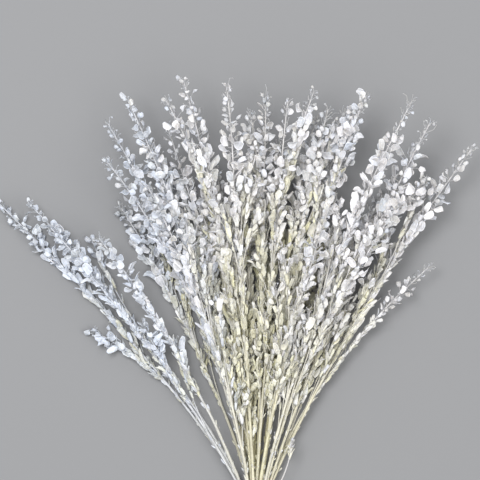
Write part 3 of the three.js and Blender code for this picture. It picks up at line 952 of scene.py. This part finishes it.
def lay_out_stems():
    """Every stem's name, its path, and its side branch if it has one."""
    stems = []
    for level, (tip_height, specs), places in zip(range(len(LAYERS)), LAYERS, bundle_places()):
        for (tip, arch, *fork), (x, rise) in zip(specs, places):
            rng = np.random.default_rng(SEED + len(stems))
            name = f"leafy_stem_{len(stems) + 1:02d}"
            end = np.array((*tip, tip_height)) * MM
            path, shares = stem_path((x, BUNDLE_HEIGHT + rise), end, arch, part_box(name)[0].y, rng)
            stem = {"name": name, "rng": rng, "path": path, "shares": shares, "tip": end}
            stem["depth"] = 1 - level / (len(LAYERS) - 1)
            if fork:
                fork_tip, leaves_at = fork[0]
                side = fork_path(path[shares > 0], np.array(fork_tip) * MM, leaves_at, end[2])
                stem["fork"] = (side, leaves_at)
            stems.append(stem)
    return stems


def add_side_stem(geometry, path, thick, thin, tints, leaves_at):
    """A branch of a stem, which takes its colour from where it leaves."""
    taper = np.linspace(0, 1, len(path))
    start = tints[int(leaves_at * (len(tints) - 1))]
    colours = mix(start, tints[-1], taper[:, None])
    add_stem(geometry, path, mix(thick, thin, taper), colours, SIDE_STEM_SIDES)


def stem_colours(stem):
    """How cool, warm and less yellow a stem is by its place in the bunch, and its own straw colour; cool
    and less yellow on the left are a painted cast of cool light.
    """
    rng, depth, tip_x = stem["rng"], stem["depth"], stem["tip"][0]
    # cool: the share of the painted cast of cool light, on stems whose tips lie to the left
    cool = float(smoothstep(-tip_x, *COOL_LIGHT_TIP))
    right = float(smoothstep(tip_x, *RIGHT_TIP))
    deep = np.clip(DEEP_BY_DEPTH * depth + mix(*DEEP_SPREAD, rng.random()), 0, 1)
    straw = mix(PALE_STRAW, DEEP_STRAW, deep) * rng.uniform(*STRAW_SHADES)
    # Painted cool light on the left makes the pods less warm and the stem less yellow; on the right they
    # are also paler
    warmth = WARMER_BY_DEPTH * (depth - EVEN_DEPTH) - COOLER_LEFT * cool - COOLER_RIGHT * right
    bleached = COOL_LIGHT_LESS_YELLOW * cool + BLEACHED_RIGHT * right
    return cool, warmth, bleached, straw


def add_shoots(geometry, stem, upper, upper_tints, cool, room):
    """Side shoots on the lower part of a stem. Returns the plans of their pods."""
    rng, tip_x = stem["rng"], stem["tip"][0]
    plans = []
    inward = -np.sign(tip_x) if abs(tip_x) > INWARD_SHOOTS_FROM else 0
    shoots = LEFT_SHOOTS if cool > APART else RIGHT_SHOOTS if inward < 0 else SHOOTS
    for leaves_at in rng.uniform(*SHOOT_FROM, rng.integers(*shoots)):
        side = shoot_path(upper, leaves_at, inward, room, rng)
        room.take(side, SHOOT_RADIUS)
        add_side_stem(geometry, side, SHOOT_RADIUS, SHOOT_TIP_SHARE * SHOOT_RADIUS, upper_tints, leaves_at)
        opened = leaves_at + path_length(side)[-1] / path_length(upper)[-1]
        most_open = min(opened, SHOOT_MOST_OPEN)
        plans.append(plan_pods(side, FIRST_SHOOT_POD, rng, **SHOOT_PODS, most_open=most_open))
    if stem["name"] == LOW_SHOOT_STEM:
        side = bezier(upper[0], np.array(LOW_SHOOT_TURN), np.array(LOW_SHOOT_TIP), LOW_SHOOT_POINTS)
        add_side_stem(geometry, side, *LOW_SHOOT_RADII, upper_tints, LOW_SHOOT_COLOUR_AT)
        plans.append(plan_pods(side, FIRST_LOW_SHOOT_POD, rng, **LOW_SHOOT_PODS))
    return plans


def grow_stem(stem, room, materials):
    """One stem with its side branch, shoots, pods and dry leaf remains, in place of its CAD node."""
    rng, path, shares, tip = stem["rng"], stem["path"], stem["shares"], stem["tip"]
    above_tie = shares > 0
    upper = path[above_tie]
    geometry = Geometry()
    cool, warmth, bleached, straw = stem_colours(stem)
    radii = stem_radii(shares, path, rng)
    tints = stem_tints(shares, cool, bleached, straw)
    add_stem(geometry, path, radii, tints)
    upper_radii, upper_tints = radii[above_tie], tints[above_tie]

    first = mix(FIRST_POD, FIRST_OUTER_POD, smoothstep(abs(tip[0]), *OUTER_TIPS))
    low_tip = 1 - float(smoothstep(tip[1], *LOW_TIP))
    habit = {"scale": mix(1, LOW_TIP_SIZE, low_tip), "spread": mix(1, CLOSE_STALK, max(cool, low_tip))}
    plans = [plan_pods(upper, first, rng, **habit)]
    if "fork" in stem:
        side, leaves_at = stem["fork"]
        thick = FORK_RADIUS_SHARE * upper_radii[int(leaves_at * len(upper))]
        add_side_stem(geometry, side, thick, STEM_RADIUS_TIP, upper_tints, leaves_at)
        plans.append(plan_pods(side, FIRST_FORK_POD, rng, **habit))
    plans += add_shoots(geometry, stem, upper, upper_tints, cool, room)
    plans.append(plan_bracts(upper, first, rng))
    for plan in plans:
        settle_turns(plan, room, rng)
        grow_pods(geometry, plan, cool, warmth, straw, rng)
    piece = geometry.make(stem["name"] + "_plant", materials)
    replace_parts(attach(piece, "root"), stem["name"])


def make_stems(materials):
    """All the stems, each of which grows round what those before it have taken."""
    stems = lay_out_stems()
    room = Room(MOST_TAKEN)
    for stem in stems:
        room.take(stem["path"][stem["shares"] > 0][::STEM_POINTS_APART], STEM_ROOM)
    for stem in stems:
        grow_stem(stem, room, materials)


def bundle_reach(angle):
    """How far the stems reach from the bundle's middle at the tie, at angles from straight down."""
    places = np.array([place for layer in bundle_places() for place in layer])
    heading = np.linspace(0, FULL_TURN, HEADINGS)
    support = (places @ np.stack([np.sin(heading), -np.cos(heading)])).max(0) + STEM_RADIUS_TIE
    facing = np.cos(heading[None] - angle[:, None])
    return np.where(facing > LEAST_FACING, support / np.maximum(facing, LEAST_FACING), np.inf).min(1)


def make_tie(material):
    """Several turns of raffia strip, laid over each other round the bundle."""
    rng = np.random.default_rng(SEED - 1)
    geometry = Geometry()
    low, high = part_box("tie")
    reach = (high.z - low.z) / 2
    free_width = high.y - low.y - STRIP_WIDTH - TIE_EDGE
    sides = len(STRIP_SECTION)
    angle = np.linspace(0, FULL_TURN, TIE_STEPS, endpoint=False)
    inner = bundle_reach(angle) + STRIP_THICKNESS
    outer = reach - STRIP_THICKNESS
    for turn in range(TIE_TURNS):
        radius = mix(inner, outer, turn / (TIE_TURNS - 1))
        radius = radius * (1 - STRIP_SAG * (1 + np.sin(2 * angle + rng.uniform(0, FULL_TURN))))
        middle = rng.uniform(-0.5, 0.5) * free_width
        middle = middle + rng.normal(0, STRIP_WANDER) * np.sin(angle + rng.uniform(0, FULL_TURN))
        half = 0.5 * STRIP_WIDTH * (1 + STRIP_UNEVENNESS * np.sin(3 * angle + rng.uniform(0, FULL_TURN)))
        rings = []
        for across_strip, height in STRIP_SECTION:
            out = radius + 0.5 * height * STRIP_THICKNESS
            place = (out * np.sin(angle), middle + across_strip * half, reach - out * np.cos(angle))
            rings.append(np.stack(place, -1))
        faces = tube_faces(TIE_STEPS + 1, sides) % (TIE_STEPS * sides)
        leaf = np.stack([
            np.tile(np.linspace(0, 1, sides), TIE_STEPS),
            np.repeat(np.sin(angle / 2), sides),
            np.full(TIE_STEPS * sides, turn * FIBRE_SHIFT),
        ], -1)
        tint = np.tile(mix(DARK_RAFFIA, PALE_RAFFIA, rng.random()), (TIE_STEPS * sides, 1))
        geometry.add(np.stack(rings, 1).reshape(-1, 3), [faces], leaf, tint, 0)
    piece = geometry.make("raffia_tie", [material])
    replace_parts(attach(piece, "root"), "tie")


def make_floor():
    material, _, shader = node_material("floor")
    shader.inputs["Base Color"].default_value = FLOOR_COLOUR
    shader.inputs["Roughness"].default_value = FLOOR_ROUGHNESS
    mesh = bpy.data.meshes.new("floor")
    corners = [(x * FLOOR_HALF, y * FLOOR_HALF, 0) for x, y in ((-1, -1), (1, -1), (1, 1), (-1, 1))]
    mesh.from_pydata(corners, [], [(0, 1, 2, 3)])
    mesh.materials.append(material)
    floor = bpy.data.objects.new("floor", mesh)
    bpy.context.scene.collection.objects.link(floor)


def add_light(name, place, size, power, colour):
    data = bpy.data.lights.new(name, "AREA")
    data.shape, data.size, data.energy, data.color = "DISK", size, power, colour
    light = bpy.data.objects.new(name, data)
    light.location = place
    light.rotation_mode = "QUATERNION"
    light.rotation_quaternion = (PICTURE_CENTRE - Vector(place)).to_track_quat("-Z", "Y")
    bpy.context.scene.collection.objects.link(light)


def make_lights():
    add_light("key", *KEY_LIGHT)
    add_light("fill", *FILL_LIGHT)
    world = bpy.context.scene.world or bpy.data.worlds.new("world")
    bpy.context.scene.world = world
    world.use_nodes = True
    background = world.node_tree.nodes["Background"]
    background.inputs["Color"].default_value = AMBIENT_COLOUR
    background.inputs["Strength"].default_value = AMBIENT_STRENGTH
    bpy.context.scene.view_settings.view_transform = "Standard"


def make_camera():
    """Straight down on the bunch, with the tips at the top of the picture."""
    data = bpy.data.cameras.new("camera")
    data.lens = data.sensor_width * CAMERA_DISTANCE / PICTURE_SIDE
    data.clip_end = CLIP_END
    camera = bpy.data.objects.new("camera", data)
    camera.location = PICTURE_CENTRE + Vector((0, 0, CAMERA_DISTANCE))
    bpy.context.scene.collection.objects.link(camera)
    bpy.context.scene.camera = camera


make_camera()
make_floor()
make_lights()
make_stems([stem_material(), pod_material()])
make_tie(raffia_material())
